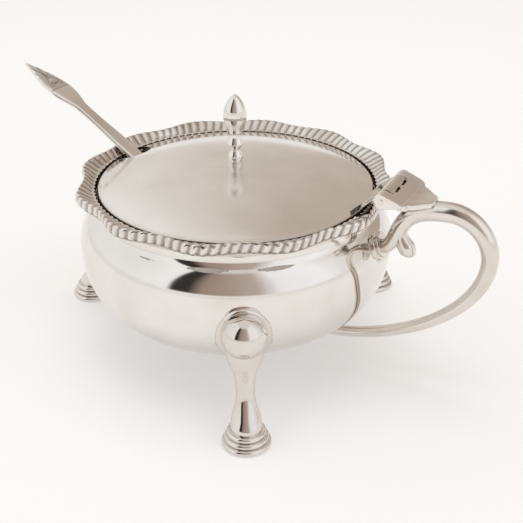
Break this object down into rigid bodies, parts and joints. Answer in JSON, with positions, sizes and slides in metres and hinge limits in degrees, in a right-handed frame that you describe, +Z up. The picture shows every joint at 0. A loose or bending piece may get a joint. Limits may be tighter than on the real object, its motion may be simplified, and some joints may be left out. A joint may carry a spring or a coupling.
{
  "type": "mustard pot",
  "caption": "Round silver-plated mustard pot on cabriole legs, with a hinged domed lid, gadroon border, scroll handle, glass liner and spoon.",
  "frame": {"origin": "on the table, under the pot's axis", "axes": "+Z up along the pot's axis, +X towards the handle, +Y to the left of a person who faces along +X"},
  "size_m": [0.1229, 0.0842, 0.0607],
  "materials": {
    "silver_plate": "polished silver plate",
    "cobalt_glass": "clear blue glass"
  },
  "bodies": {
    "pot": {"bowl": "silver_plate", "gadroon_border": "silver_plate", "lid_seat_ring": "silver_plate", "glass_liner": "cobalt_glass", "hinge_plate": "silver_plate", "hinge_pin": "silver_plate", "handle": "silver_plate", "leg_front": "silver_plate", "leg_back": "silver_plate", "leg_left": "silver_plate"},
    "lid": {"lid": "silver_plate", "lid_hinge_leaf": "silver_plate", "finial": "silver_plate", "finial_nut": "silver_plate"},
    "spoon": {"spoon": "silver_plate"}
  },
  "joints": [
    {"name": "lid_hinge", "type": "hinge", "parent": "pot", "child": "lid", "pos_m": [0.037, 0, 0.04552], "axis": [0, 1, 0], "range_deg": [0, 110]},
    {"name": "spoon_lift", "type": "slide", "parent": "pot", "child": "spoon", "axis": [-0.8647, 0.0909, 0.4939], "range_m": [0, 0.025]}
  ]
}
